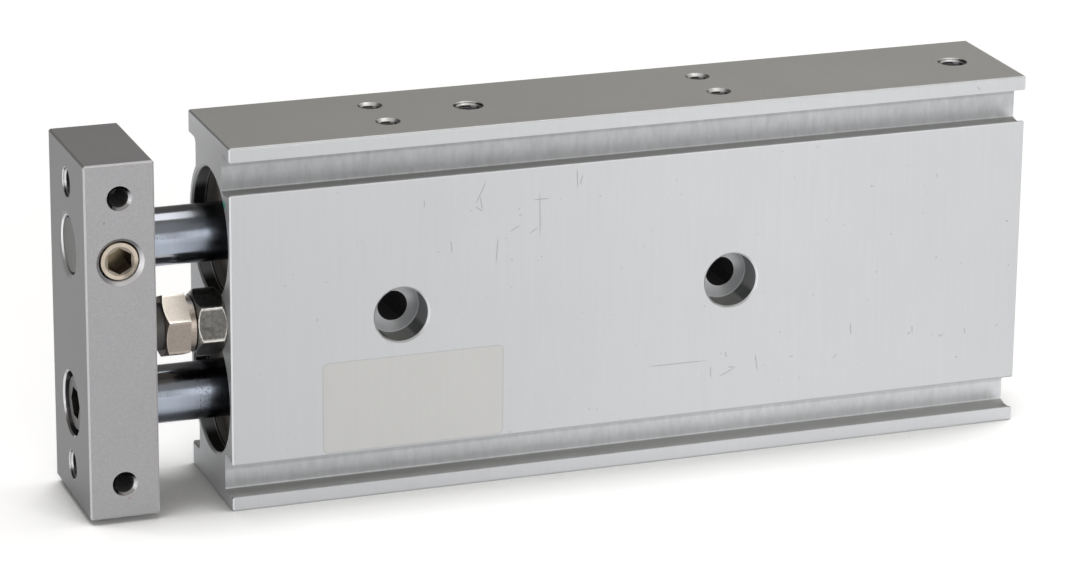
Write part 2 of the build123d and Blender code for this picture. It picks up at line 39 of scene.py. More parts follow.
# The camera stands in front of the cylinder, to the left of it and a little above, and looks
# down at it through a long lens.
photo_width = 1080
focal_pixels = 4513.28
lens_data = bpy.data.cameras.new("camera")
lens_data.sensor_width = 36.0
lens_data.lens = focal_pixels * lens_data.sensor_width / photo_width
lens_data.clip_start = 0.05
lens_data.clip_end = 20
camera = bpy.data.objects.new("camera", lens_data)
scene.collection.objects.link(camera)
scene.camera = camera
camera_place = Vector((-255.03, -699.49, 277.20)) * mm
camera_forward = Vector((0.324114, 0.892245, -0.314402)).normalized()
camera_right = camera_forward.cross(Vector((0.097927, 0.298914, 0.949242))).normalized()
camera_up = camera_right.cross(camera_forward)
turn = Matrix((camera_right, camera_up, -camera_forward)).transposed()
camera.matrix_world = Matrix.Translation(camera_place) @ turn.to_4x4()


class Value:
    """A number, vector or colour in a material. Arithmetic on numbers adds Math nodes."""

    def __init__(self, finish, socket):
        self.finish = finish
        self.socket = socket

    def math(self, operation, *inputs):
        settings = {"operation": operation}
        return self.finish.node("ShaderNodeMath", settings, dict(enumerate(inputs)))

    def __neg__(self):
        return self.math("MULTIPLY", self, -1.0)

    def __add__(self, other):
        return self.math("ADD", self, other)

    def __radd__(self, other):
        return self.math("ADD", other, self)

    def __sub__(self, other):
        return self.math("SUBTRACT", self, other)

    def __rsub__(self, other):
        return self.math("SUBTRACT", other, self)

    def __mul__(self, other):
        return self.math("MULTIPLY", self, other)

    def __truediv__(self, other):
        return self.math("DIVIDE", self, other)

    def __pow__(self, other):
        return self.math("POWER", self, other)

    def __lt__(self, other):
        return self.math("LESS_THAN", self, other)

    def __gt__(self, other):
        return self.math("GREATER_THAN", self, other)

    def __abs__(self):
        return self.math("ABSOLUTE", self)

    def __or__(self, other):
        return self.math("MAXIMUM", self, other)

    def __and__(self, other):
        return self.math("MINIMUM", self, other)

    def from_axis(self, other):
        """Distance from an axis, of two distances at right angles to it."""
        return (self * self + other * other) ** 0.5

    def ramp(self, low, high):
        """Rises smoothly from 0 at low to 1 at high, or falls if high is the lower."""
        settings = {"interpolation_type": "SMOOTHSTEP"}
        inputs = {"Value": self, "From Min": low, "From Max": high}
        return self.finish.node("ShaderNodeMapRange", settings, inputs, "Result")

    def swing(self, amount):
        """Variation around 0 by an amount, of noise that runs from 0 to 1."""
        return (self - 0.5) * amount


class Finish:
    """The finish of one kind of surface: a material with its Principled shader."""

    def __init__(self, name):
        self.material = bpy.data.materials.new(name)
        self.material.use_nodes = True
        self.tree = self.material.node_tree
        self.shader = self.tree.nodes["Principled BSDF"]

    def node(self, kind, settings, inputs, output=0):
        """Adds a node: its settings are set first, then its sockets' values or links."""
        made = self.tree.nodes.new(kind)
        for name, value in settings.items():
            setattr(made, name, value)
        self.connect(made, inputs)
        return Value(self, made.outputs[output])

    def connect(self, made, inputs):
        for name, value in inputs.items():
            if isinstance(value, Value):
                self.tree.links.new(value.socket, made.inputs[name])
            else:
                made.inputs[name].default_value = value

    def set(self, **inputs):
        """Sets or links the shader's own sockets. Underscores stand for spaces."""
        named = {name.replace("_", " "): value for name, value in inputs.items()}
        self.connect(self.shader, named)

    def place(self):
        """The point on the piece, as a vector in metres."""
        return self.node("ShaderNodeTexCoord", {}, {}, "Object")

    def millimetres(self):
        """The point on the piece, as three numbers in millimetres."""
        return self.parts(self.scaled(self.place(), (1000, 1000, 1000)))

    def facing(self):
        """The three parts of the surface's direction."""
        return self.parts(self.node("ShaderNodeTexCoord", {}, {}, "Normal"))

    def broken_edge(self):
        """1 where the surface faces along no axis, as on chamfers and rounded corners."""
        x, y, z = self.facing()
        return (abs(x) | abs(y) | abs(z)).ramp(0.92, 0.8)

    def parts(self, vector):
        return [self.node("ShaderNodeSeparateXYZ", {}, {"Vector": vector}, axis) for axis in "XYZ"]

    def vector(self, *numbers):
        """A vector of three numbers."""
        return self.node("ShaderNodeCombineXYZ", {}, dict(zip("XYZ", numbers)))

    def scaled(self, vector, scale):
        inputs = {0: vector, 1: scale}
        return self.node("ShaderNodeVectorMath", {"operation": "MULTIPLY"}, inputs, "Vector")

    def noise(self, vector, scale, detail=3.0, roughness=0.55):
        """Cloudy variation from 0 to 1, with the mean near a half."""
        inputs = {"Vector": vector, "Scale": scale, "Detail": detail, "Roughness": roughness}
        return self.node("ShaderNodeTexNoise", {}, inputs, "Fac")

    def mix(self, factor, plain, other):
        """A colour between two colours."""
        settings = {"data_type": "RGBA"}
        inputs = {"Factor": factor, 6: plain, 7: other}
        return self.node("ShaderNodeMix", settings, inputs, 2)

    def tinted(self, colour, amount):
        """A colour made lighter or darker by a number."""
        inputs = {0: colour, "Scale": amount}
        return self.node("ShaderNodeVectorMath", {"operation": "SCALE"}, inputs, "Vector")

    def bump(self, height, distance):
        """A surface relief: height from 0 to 1, distance in metres."""
        inputs = {"Height": height, "Distance": distance, "Strength": 1.0}
        return self.node("ShaderNodeBump", {}, inputs, "Normal")

    def wear(self, *nodes):
        """Gives this finish to the named CAD nodes."""
        for name in nodes:
            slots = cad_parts[name].data.materials
            slots.clear()
            slots.append(self.material)


# The studio: a white floor that keeps the object's shadow, a room that is white at the horizon
# and a warm grey above, a large lamp in front, one on each side and a wide one overhead.
room = bpy.data.worlds.new("room")
scene.world = room
room.use_nodes = True
room_tree = room.node_tree
background = room_tree.nodes["Background"]


def room_node(kind, settings, inputs, output=0):
    """Adds a node to the room: its settings are set first, then its sockets."""
    made = room_tree.nodes.new(kind)
    for name, value in settings.items():
        setattr(made, name, value)
    for name, value in inputs.items():
        if isinstance(value, bpy.types.NodeSocket):
            room_tree.links.new(value, made.inputs[name])
        else:
            made.inputs[name].default_value = value
    return made.outputs[output]


def room_ramp(value, low, high, start=0.0, end=1.0):
    """Goes smoothly from start to end while a value goes from low to high."""
    settings = {"interpolation_type": "SMOOTHSTEP"}
    inputs = {"Value": value, "From Min": low, "From Max": high, "To Min": start, "To Max": end}
    return room_node("ShaderNodeMapRange", settings, inputs, "Result")


direction = room_node("ShaderNodeTexCoord", {}, {}, "Generated")
height = room_node("ShaderNodeSeparateXYZ", {}, {"Vector": direction}, "Z")
depth = room_node("ShaderNodeSeparateXYZ", {}, {"Vector": direction}, "Y")
horizon = (0.02, 0.12)
ceiling = room_ramp(depth, -0.7, 0.5, 0.42, 0.19)
white = (1.0, 1.0, 1.0, 1.0)
warm_grey = (1.0, 0.965, 0.895, 1.0)
tone_inputs = {"Factor": room_ramp(height, *horizon), 6: white, 7: warm_grey}
tone = room_node("ShaderNodeMix", {"data_type": "RGBA"}, tone_inputs, 2)
room_tree.links.new(room_ramp(height, *horizon, 1.0, ceiling), background.inputs["Strength"])
room_tree.links.new(tone, background.inputs["Color"])


def lamp(name, place, target, width, depth, radiance):
    """A soft lamp: a rectangle whose width lies level, and that shines towards a point."""
    place = Vector(place)
    back = (place - Vector(target)).normalized()
    across = Vector((1, 0, 0)) - back * back.x
    across.normalize()
    data = bpy.data.lights.new(name, "AREA")
    data.shape = "RECTANGLE"
    data.size = width
    data.size_y = depth
    data.energy = radiance * pi * width * depth
    made = bpy.data.objects.new(name, data)
    scene.collection.objects.link(made)
    turn = Matrix((across, back.cross(across), back)).transposed()
    made.matrix_world = Matrix.Translation(place) @ turn.to_4x4()


lamp("front_lamp", (-0.10, -1.5, 0.42), (0, 0, 0.03), 0.7, 0.7, 6.9)
lamp("left_lamp", (-1.5, -0.45, 0.35), (0, 0, 0.03), 0.7, 0.7, 0.65)
lamp("right_lamp", (1.25, -1.0, 0.45), (0, 0, 0.03), 0.6, 0.6, 1.5)
lamp("top_strip", (0.228, 0.115, 0.883), (-0.066, 0, 0.046), 0.45, 0.52, 2.3)

floor_mesh = bmesh.new()
bmesh.ops.create_grid(floor_mesh, x_segments=1, y_segments=1, size=6.0)
floor_data = bpy.data.meshes.new("floor")
floor_mesh.to_mesh(floor_data)
floor_mesh.free()
floor = bpy.data.objects.new("floor", floor_data)
scene.collection.objects.link(floor)
floor_paint = Finish("floor_paint")
seen_rays = floor_paint.node("ShaderNodeLightPath", {}, {}, "Is Camera Ray")
for kind in ("Is Glossy Ray", "Is Transmission Ray"):
    seen_rays = seen_rays + floor_paint.node("ShaderNodeLightPath", {}, {}, kind)
open_sky = floor_paint.node(
    "ShaderNodeAmbientOcclusion", {"samples": 8}, {"Distance": 0.035}, "AO"
)
shadow = open_sky.ramp(0.74, 0.36)
glow = floor_paint.mix(seen_rays * (1.0 - shadow * 0.97), (0, 0, 0, 1), (0.7, 0.7, 0.7, 1))
floor_paint.set(
    Base_Color=(0.62, 0.62, 0.62, 1.0),
    Roughness=0.9,
    Specular_IOR_Level=0.0,
    Emission_Color=glow,
    Emission_Strength=1.0,
)
floor_data.materials.append(floor_paint.material)


# Body: an aluminium extrusion with a clear satin anodised skin. Fine lines from the die run
# along it, its sawn ends are milled, every hole's mouth is cut bright, and handling has left
# a few scratches. The front carries a blank label, a rectangle printed a little darker.
# Light and shade are painted into its colour as well: painted shade in its holes and grooves,
# thin painted highlights on edges and rims, and painted reflections that tint its faces.
rod_end_x = -60.25
back_y = 12.5
middle_z = 32.0
bore_offset = 14.0
cover_seat_r = 11.0
hole_middle_x = rod_end_x + 60.0
hole_reach = 30.0
counterbore_r = 4.75
counterbore_depth = 5.3
through_r = 2.66
tap_offset_y = 5.0
port_middle_x = rod_end_x + 91.25
port_reach = 45.25
m4_mouth_r = 2.15
m5_mouth_r = 2.65
m5_thread_start_r = 2.42
soft_edge = 0.1


def bore_distance(y, z):
    """Distance from the axis of the nearer bore."""
    return y.from_axis(abs(z - middle_z) - bore_offset)


body_finish = Finish("satin_anodised_aluminium")
x, y, z = body_finish.millimetres()
facing_x, facing_y, facing_z = body_finish.facing()
spot = body_finish.place()
from_middle = abs(z - middle_z)
upper_half = z > middle_z
from_front = y + back_y
from_face = back_y - abs(y)
end_face = abs(facing_x).ramp(0.85, 0.97)
broken_edge = body_finish.broken_edge()
from_bore = bore_distance(y, z)
# Painted highlight: end chamfers facing the front, off the bore mouths, lighter; the rest darker
bore_mouth = from_bore.ramp(cover_seat_r + 0.8, cover_seat_r + 0.6)
painted_end_edge_light = (-facing_y).ramp(0.4, 0.6) * (1.0 - bore_mouth) * 0.85 - 0.5
painted_end_edge_light = painted_end_edge_light * abs(facing_x).ramp(0.4, 0.6)

# Cut surfaces inside the bores, the counterbores, the tapped holes and the ports. Their colour
# is darkened as painted shade, most in the through holes, and their mouths carry thin painted
# highlights and shade lines.
from_holes_x = abs(x - hole_middle_x) - hole_reach
from_hole = from_holes_x.from_axis(z - middle_z)
from_tap = from_holes_x.from_axis(abs(y) - tap_offset_y)
from_port = (abs(x - port_middle_x) - port_reach).from_axis(y)
below_edge = (from_middle < middle_z - 0.05) * (from_middle > 24.0)
# Painted shade: bore walls, counterbores and through holes are darkened in the colour
bore_wall = from_bore.ramp(cover_seat_r + 0.15, cover_seat_r) * end_face.ramp(0.5, 0.4)
counterbore = from_hole.ramp(5.1, 5.05) * (from_face > 0.05)
through_hole = from_hole.ramp(through_r + 0.09, through_r)
through_hole = through_hole * (from_face > counterbore_depth + 0.1)
counterbore_wall = counterbore * from_hole.ramp(4.6, 4.7)
# A thin painted highlight where each counterbore's floor meets its wall
from_root = (from_face - counterbore_depth).from_axis(from_hole - counterbore_r)
counterbore_line = counterbore * from_root.ramp(0.22, 0.1)
# Painted reflection: each counterbore's floor darkens in two opposite lobes
right_hole = (x - hole_middle_x).math("SIGN", x - hole_middle_x)
painted_floor_glint = (from_holes_x * right_hole * 0.82 - (z - middle_z) * 0.57) / from_hole
counterbore_floor = counterbore * (1.0 - counterbore_wall) * abs(painted_floor_glint).ramp(0.45, 1.0)
tapped_hole = from_tap.ramp(m4_mouth_r + soft_edge, m4_mouth_r) * below_edge
port_hole = from_port.ramp(m5_mouth_r + soft_edge, m5_mouth_r) * below_edge
# Painted shade: the cut walls inside the bores, taps and ports are darkened in the colour
cut_and_painted_shade = (bore_wall | tapped_hole | port_hole) * (1.0 - broken_edge)
tap_rims = broken_edge * (from_tap.ramp(2.6, 2.5) | from_port.ramp(3.1, 3.0))
tap_rims = tap_rims * (from_middle > middle_z - 1.0)
hole_rims = tap_rims | broken_edge * from_hole.ramp(5.4, 5.3) * (from_face < 0.4)
# Painted highlight on the near and far sides of the tap and port rims, painted shade at their ends
tap_glint = tap_rims * (abs(facing_y).ramp(0.15, 0.55) - 0.65)
# A dark painted shade line where each port's thread begins
port_line = tap_rims * abs(from_port - m5_thread_start_r).ramp(0.12, 0.05)

# A thin painted highlight where each bore meets its retaining ring, and a dab of teal paint
ring_x = rod_end_x + 2.35
dab_y, dab_z = -9.3, 53.4
ring_line = bore_wall * abs(x - ring_x).ramp(0.2, 0.08)
paint = (y - dab_y).from_axis(z - dab_z).ramp(0.75, 0.55)
paint = paint * end_face * (x < rod_end_x + 0.1)

# The two grooves keep the skin of the die, with waves that the saw never reached. As painted
# shade, the upper wall and both ledges are darkened, each wall darkens under the lip above it
# and towards the rods, and the upper wall is painted lighter again towards its foot. A thin
# painted highlight runs along the root of each groove.
in_groove = from_front.ramp(0.25, 0.6) * (from_front < 4.9) * (1.0 - end_face)
in_groove = in_groove * from_middle.ramp(22.4, 22.6) * from_middle.ramp(30.3, 30.1)
groove_wall = in_groove * from_front.ramp(4.3, 4.5)
ledge = in_groove * facing_z.ramp(0.6, 0.8)
groove_foot = groove_wall * upper_half * z.ramp(58.0, 55.5)
lip_shadow = z.ramp(59.4, 59.75) | (z < middle_z) * z.ramp(5.75, 6.1)
lip_shadow = groove_wall * lip_shadow
root_line = (abs(z - 55.5) & abs(z - 2.6)).ramp(0.2, 0.05)
root_line = in_groove * from_front.ramp(4.1, 4.3) * root_line
waves = body_finish.noise(body_finish.scaled(spot, (1000, 300, 330)), 1.0, 3.0)

# Blank label, with round corners and a thin line around it
label_middle_x, label_middle_z = -28.15, 16.65
label_half_x, label_half_z = 15.1, 7.05
front = (-facing_y).ramp(0.9, 0.98) * (from_front < 0.02)
past_label_x = (abs(x - label_middle_x) - label_half_x) | 0.0
past_label_z = (abs(z - label_middle_z) - label_half_z) | 0.0
label_reach = past_label_x.from_axis(past_label_z)
label = front * label_reach.ramp(1.04, 0.96)
label_line = front * abs(label_reach - 1.0).ramp(0.14, 0.05)
# Painted shade under the panel's lower edge, and a painted highlight along its upper edge
panel_edge = front * from_middle.ramp(23.5, 23.68) * (from_middle < 24.0)


def scratch(start, end):
    """A thin straight scratch on the front face, between two points given as x and z."""
    run = Vector(end) - Vector(start)
    length = run.length
    run.normalize()
    along = (x - start[0]) * run.x + (z - start[1]) * run.y
    across = abs((x - start[0]) * run.y - (z - start[1]) * run.x)
    ends = along.ramp(0, length * 0.25) * along.ramp(length, length * 0.7)
    return across.ramp(0.13, 0.04) * ends


scratches = scratch((-15.1, 54.6), (-17.3, 50.0))
for start, end in (
    ((-17.3, 50.0), (-15.9, 48.9)),
    ((-15.9, 48.9), (-16.4, 51.9)),
    ((-26.3, 52.0), (-26.3, 50.4)),
    ((1.0, 55.1), (1.2, 51.1)),
    ((2.1, 53.9), (1.6, 51.8)),
    ((-5.7, 52.0), (-5.5, 42.8)),
    ((-7.0, 50.1), (-3.6, 50.1)),
    ((-7.6, 44.1), (-5.8, 45.2)),
    ((-11.1, 44.8), (-9.0, 45.9)),
    ((-13.1, 44.3), (-13.5, 39.0)),
    ((-21.6, 44.5), (-21.3, 41.8)),
    ((13.8, 17.8), (26.6, 17.7)),
    ((26.2, 16.8), (26.4, 14.2)),
    ((27.6, 14.4), (31.1, 15.9)),
    ((34.6, 18.2), (35.1, 14.6)),
    ((52.6, 22.0), (52.8, 19.3)),
    ((75.3, 62.9), (76.0, 62.1)),
    ((49.3, 15.4), (50.4, 16.4)),
    ((28.9, 19.1), (29.3, 17.8)),
    ((64.5, 20.1), (64.6, 18.4)),
    ((74.7, 18.6), (74.9, 17.3)),
    ((29.4, 16.1), (31.1, 15.9)),
):
    scratches = scratches | scratch(start, end)
scratches = scratches * front
brush = body_finish.noise(body_finish.scaled(spot, (1500, 60, 60)), 1.0, 2.0)
grain = body_finish.noise(spot, 5200.0, 2.0)
clouds = body_finish.noise(spot, 45.0, 2.0)
milling = body_finish.noise(body_finish.scaled(spot, (300, 2600, 220)), 1.0, 2.0)
specks = body_finish.noise(spot, 1000.0, 1.0).ramp(0.77, 0.82) * front * (1.0 - label)
# Painted reflection: the body darkens along its length towards the rods, its front more
along_body = x.ramp(55.0, -75.0)
front_side = (-facing_y).ramp(0.5, 0.9)
shade = 1.0 + clouds.swing(0.05) + brush.swing(0.05) + grain.swing(0.05)
# Painted light: the front faces are a little lighter, and the front of the lower lip more
lower_lip = front_side * z.ramp(2.6, 2.3)
shade = shade * (1.0 + front_side * 0.03 + lower_lip * 0.08)
# Painted shade and reflections darken holes, grooves and ledges; specks and scratches are marks
for mask, loss in (
    (end_face, milling.swing(0.16) - 0.07),
    (along_body, front_side * 0.09 + 0.09),
    (cut_and_painted_shade, 0.8),
    (through_hole, 0.95),
    (bore_wall, 0.5),
    (counterbore, 0.25),
    (counterbore_wall, 0.34),
    (counterbore_floor, 0.45),
    (groove_wall, upper_half * 0.24 - 0.05 + waves.swing(0.32)),
    (groove_foot, -0.22),
    (lip_shadow, 0.18),
    (in_groove * along_body, 0.13),
    (ledge, upper_half * 0.08 + 0.24),
    (panel_edge, 0.3 - upper_half * 0.42),
    (specks, 0.25),
    (scratches, 0.34),
    (label_line, 0.16),
):
    shade = shade * (1.0 - mask * loss)
# Edges are cut a little lighter; painted highlights and shade lines sit on edges, rims and roots
shade = shade + broken_edge * (0.2 + painted_end_edge_light - facing_x.ramp(0.3, 0.5) * 0.5)
shade = shade + hole_rims * 0.35 + root_line * 0.3 + counterbore_line * 0.25
shade = shade + ring_line * 0.7 + tap_glint - port_line * 1.1
skin = body_finish.mix(label, (0.598, 0.61, 0.63, 1), (0.588, 0.588, 0.583, 1))
# Painted reflection: faces that look up are tinted warmer than the bluish front
skin = body_finish.mix(facing_z.ramp(0.8, 0.95), skin, (0.602, 0.602, 0.588, 1))
skin = body_finish.mix(paint, skin, (0.05, 0.55, 0.45, 1))
body_finish.set(
    Base_Color=body_finish.tinted(skin, shade),
    Metallic=0.45
    + cut_and_painted_shade * 0.35
    + in_groove * 0.2
    + hole_rims * 0.35
    - through_hole * 0.4
    - paint * 0.4,
    Roughness=0.42
    + grain.swing(0.08)
    + clouds.swing(0.08)
    + end_face * 0.08
    - broken_edge * 0.1
    - cut_and_painted_shade * 0.1
    - groove_wall * 0.06
    + counterbore_wall * 0.2
    + through_hole * 0.5,
    Normal=body_finish.bump(
        brush * (1.0 - end_face)
        + milling * end_face * 2.0
        + grain * 0.5
        - scratches * 2.0
        - specks * 2.0
        + waves * groove_wall * 12.0,
        0.000004,
    ),
)
body_finish.wear("housing")


# Threads in the body: four M4 taps in each long edge and two M5 ports in the upper one. Each
# is the ridge that a tap leaves, raw aluminium coloured dark as painted shade, and stands in a
# plain hole of the CAD.
cut_finish = Finish("cut_thread")
spot = cut_finish.place()
chatter = cut_finish.noise(spot, 2600.0, 3.0)
cut_finish.set(
    Base_Color=cut_finish.tinted((0.13, 0.13, 0.135), 1.0 + chatter.swing(0.4)),
    Metallic=0.8,
    Roughness=0.3 + chatter.swing(0.2),
    Normal=cut_finish.bump(chatter, 0.000005),
)


def thread(shape, mouth, inward, hole_r, pitch, turns):
    """Adds the ridge of a tapped thread, which winds inward from a hole's mouth. Its foot is
    sunk a little into the hole's wall."""
    mouth = Vector(mouth)
    inward = Vector(inward)
    side = inward.orthogonal().normalized()
    steps = 20
    half = pitch * 0.36
    foot_r = hole_r + 0.03
    corners = [(foot_r, -half), (hole_r - 0.55 * half, 0.0), (foot_r, half)]
    ring = [shape.verts.new((mouth + side * r + inward * (pitch + d)) * mm) for r, d in corners]
    edges = [shape.edges.new((ring[i], ring[(i + 1) % 3])) for i in range(3)]
    made = bmesh.ops.spin(
        shape,
        geom=ring + edges,
        cent=mouth * mm,
        axis=inward,
        dvec=inward * (pitch / steps * mm),
        angle=2 * pi * turns,
        steps=steps * turns,
        use_merge=False,
    )
    last = [edge for edge in made["geom_last"] if isinstance(edge, bmesh.types.BMEdge)]
    bmesh.ops.contextual_create(shape, geom=edges)
    bmesh.ops.contextual_create(shape, geom=last)


def piece(name, shape, finish, body):
    """Makes one finished object of a bmesh, which rides on a body."""
    bmesh.ops.recalc_face_normals(shape, faces=shape.faces)
    mesh = bpy.data.meshes.new(name)
    shape.to_mesh(mesh)
    shape.free()
    mesh.materials.append(finish.material)
    made = bpy.data.objects.new(name, mesh)
    scene.collection.objects.link(made)
    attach(made, body)


m4_size = (1.65, 0.7)
m5_size = (2.1, 0.8)
for edge_name, edge_z, inward in (("top", 64.0, (0, 0, -1)), ("bottom", 0.0, (0, 0, 1))):
    shape = bmesh.new()
    for tap_x in (hole_middle_x - hole_reach, hole_middle_x + hole_reach):
        for tap_y in (-tap_offset_y, tap_offset_y):
            thread(shape, (tap_x, tap_y, edge_z), inward, *m4_size, 7)
    piece(f"body_m4_threads_{edge_name}", shape, cut_finish, "cylinder_body")
shape = bmesh.new()
for port_x in (port_middle_x - port_reach, port_middle_x + port_reach):
    thread(shape, (port_x, 0, 64.0), (0, 0, -1), *m5_size, 5)
piece("port_threads_top", shape, cut_finish, "cylinder_body")


# Head covers: two aluminium discs, turned on a lathe, that close the bores' far ends. Each
# sits against a step in its bore and is held by a retaining ring.
def pair(*names):
    """The names of the upper and the lower node of each kind."""
    return [f"{name}_{side}" for name in names for side in ("upper", "lower")]


cover_finish = Finish("turned_aluminium")
x, y, z = cover_finish.millimetres()
lathe_turns = cover_finish.vector(bore_distance(y, z) * 4.0, x * 2.0, 0.0)
lathe_lines = cover_finish.noise(lathe_turns, 1.0, 3.0)
grain = cover_finish.noise(cover_finish.place(), 2500.0, 2.0)
cover_finish.set(
    Base_Color=cover_finish.tinted(
        (0.50, 0.51, 0.525), 1.0 + lathe_lines.swing(0.3) + grain.swing(0.1)
    ),
    Metallic=0.6,
    Roughness=0.36 + lathe_lines.swing(0.2),
    Normal=cover_finish.bump(lathe_lines, 0.000008),
)
cover_finish.wear(*pair("head_cover"))


# Rod covers: two long sleeves turned from a grey-brown bearing alloy, oily around the rods that
# they guide. Each is held in its bore by a retaining ring.
bearing = Finish("bearing_alloy")
x, y, z = bearing.millimetres()
lathe_turns = bearing.vector(bore_distance(y, z) * 5.0, x * 2.0, 0.0)
lathe_lines = bearing.noise(lathe_turns, 1.0, 3.0)
oil = bearing.noise(bearing.place(), 320.0, 3.0)
bearing.set(
    Base_Color=bearing.tinted(
        (0.24, 0.225, 0.20), 1.0 + lathe_lines.swing(0.35) + oil.swing(0.5)
    ),
    Metallic=0.65,
    Roughness=0.4 + oil.swing(0.3),
    Normal=bearing.bump(lathe_lines, 0.000008),
)
bearing.wear(*pair("rod_cover"))


# Retaining rings: four open rings stamped from spring steel, with a black phosphate skin that
# is rubbed in places, and a painted highlight along the inner edge. They spring into grooves
# in the bores.
spring_steel = Finish("phosphated_spring_steel")
_, y, z = spring_steel.millimetres()
# Painted highlight along each ring's inner edge
ring_edge = bore_distance(y, z).ramp(10.6, 10.5)
spot = spring_steel.place()
grain = spring_steel.noise(spot, 2200.0, 3.0)
rubbed = spring_steel.noise(spot, 420.0, 3.0).ramp(0.55, 0.75)
spring_steel.set(
    Base_Color=spring_steel.tinted(
        (0.03, 0.029, 0.028), 1.0 + grain.swing(0.6) + rubbed * 1.2 + ring_edge * 12.0
    ),
    Metallic=0.7,
    Roughness=0.4 + grain.swing(0.2) - rubbed * 0.1,
    Normal=spring_steel.bump(grain, 0.000006),
)
spring_steel.wear(*pair("rod_cover_ring", "head_cover_ring"))


# Rubber: the seals on rods and pistons, the covers' O-rings and the pistons' bumpers, all
# moulded in black rubber, dusty in places, and held in their grooves by their own stretch.
rubber = Finish("black_rubber")
spot = rubber.place()
grain = rubber.noise(spot, 2500.0, 3.0)
dust = rubber.noise(spot, 260.0, 3.0).ramp(0.45, 0.8)
rubber.set(
    Base_Color=rubber.tinted((0.016, 0.016, 0.017), 1.0 + grain.swing(0.6) + dust * 0.5),
    Roughness=0.5 + grain.swing(0.2) + dust * 0.1,
    Normal=rubber.bump(grain, 0.00001),
)
rubber.wear(
    *pair("rod_seal", "rod_cover_o_ring", "head_cover_o_ring"),
    *pair("piston_seals", "rod_bumper", "head_bumper"),
)


# Adjuster's pad: a plug of harder, greyer rubber, pressed into the head of the adjuster bolt.
# It takes the blow when the plate comes home.
pad_rubber = Finish("grey_pad_rubber")
spot = pad_rubber.place()
grain = pad_rubber.noise(spot, 2500.0, 3.0)
dust = pad_rubber.noise(spot, 400.0, 3.0)
pad_rubber.set(
    Base_Color=pad_rubber.tinted(
        (0.05, 0.047, 0.044), 1.0 + grain.swing(0.6) + dust.swing(0.6)
    ),
    Roughness=0.55 + grain.swing(0.2),
    Normal=pad_rubber.bump(grain, 0.00001),
)
pad_rubber.wear("adjuster_pad")


# Pistons: two turned aluminium halves for each bore, left as they come off the lathe. They
# clamp the magnet between them, and a nut on the rod's tail holds both.
piston_finish = Finish("turned_piston_aluminium")
x, y, z = piston_finish.millimetres()
lathe_turns = piston_finish.vector(bore_distance(y, z) * 6.0, x * 6.0, 0.0)
lathe_lines = piston_finish.noise(lathe_turns, 1.0, 3.0)
piston_finish.set(
    Base_Color=piston_finish.tinted((0.56, 0.57, 0.58), 1.0 + lathe_lines.swing(0.3)),
    Metallic=0.8,
    Roughness=0.28 + lathe_lines.swing(0.2),
    Normal=piston_finish.bump(lathe_lines, 0.00001),
)
piston_finish.wear(*pair("piston_front", "piston_rear"))


# Magnets: two bonded ferrite rings, matt and dark, with a grain of their own. Each is clamped
# between the halves of its piston.
ferrite = Finish("bonded_ferrite")
spot = ferrite.place()
grain = ferrite.noise(spot, 1500.0, 4.0)
ferrite.set(
    Base_Color=ferrite.tinted((0.045, 0.043, 0.045), 1.0 + grain.swing(0.9)),
    Roughness=0.62 + grain.swing(0.2),
    Normal=ferrite.bump(grain, 0.000015),
)
ferrite.wear(*pair("piston_magnet"))


# Guide rings: two strips of moulded, wear-resistant plastic, ivory, with faint flow marks. They
# are snapped into the grooves of the pistons' rims.
guide_plastic = Finish("ivory_guide_plastic")
spot = guide_plastic.place()
flow = guide_plastic.noise(guide_plastic.scaled(spot, (900, 120, 120)), 1.0, 3.0)
guide_plastic.set(
    Base_Color=guide_plastic.tinted((0.62, 0.56, 0.44), 1.0 + flow.swing(0.18)),
    Roughness=0.46 + flow.swing(0.2),
    Normal=guide_plastic.bump(flow, 0.000008),
)
guide_plastic.wear(*pair("guide_ring"))


# Piston nuts: two hexagon nuts of zinc-plated steel, cut from bar. They are pulled up on the
# rods' threaded tails.
zinc = Finish("zinc_plate")
spot = zinc.place()
brush = zinc.noise(zinc.scaled(spot, (2500, 300, 300)), 1.0, 3.0)
clouds = zinc.noise(spot, 500.0, 2.0)
zinc.set(
    Base_Color=zinc.tinted((0.50, 0.51, 0.53), 1.0 + clouds.swing(0.25) + brush.swing(0.2)),
    Metallic=1.0,
    Roughness=0.33 + clouds.swing(0.15),
    Normal=zinc.bump(brush, 0.000004),
)
zinc.wear(*pair("piston_nut"))


# Port plugs: two headless screws of blackened, oiled steel. They are screwed into the ports of
# the lower edge, which stay closed.
black_steel = Finish("oiled_black_steel")
spot = black_steel.place()
grain = black_steel.noise(spot, 2200.0, 3.0)
black_steel.set(
    Base_Color=black_steel.tinted((0.035, 0.034, 0.033), 1.0 + grain.swing(0.5)),
    Metallic=0.8,
    Roughness=0.36 + grain.swing(0.15),
    Normal=black_steel.bump(grain, 0.000006),
)
black_steel.wear("port_plugs")


# Rods: hard-chromed steel, ground and polished, with the faintest marks of the grinding wheel
# around them and a film of oil. Their end faces are plain turned steel. Their colour also
# holds painted reflections and painted shade.
chrome = Finish("hard_chrome")
x, y, z = chrome.millimetres()
facing_x, _, facing_z = chrome.facing()
spot = chrome.place()
wheel_marks = chrome.noise(chrome.scaled(spot, (4200, 60, 60)), 1.0, 2.0)
oil = chrome.noise(spot, 150.0, 3.0)
turned_end = abs(facing_x).ramp(0.85, 0.97)
from_rod = bore_distance(y, z)
lathe_lines = chrome.noise(chrome.vector(from_rod * 6.0, 0.0, 0.0), 1.0, 2.0)
end_grain = chrome.noise(spot, 1700.0, 3.0)
lower_rod = z < middle_z
# Painted reflections: bluish grey on the sides, a plainer grey where the rod faces up, darker
# below
overhead = facing_z.ramp(0.62, 0.76)
underside = facing_z.ramp(-0.3, -0.5)
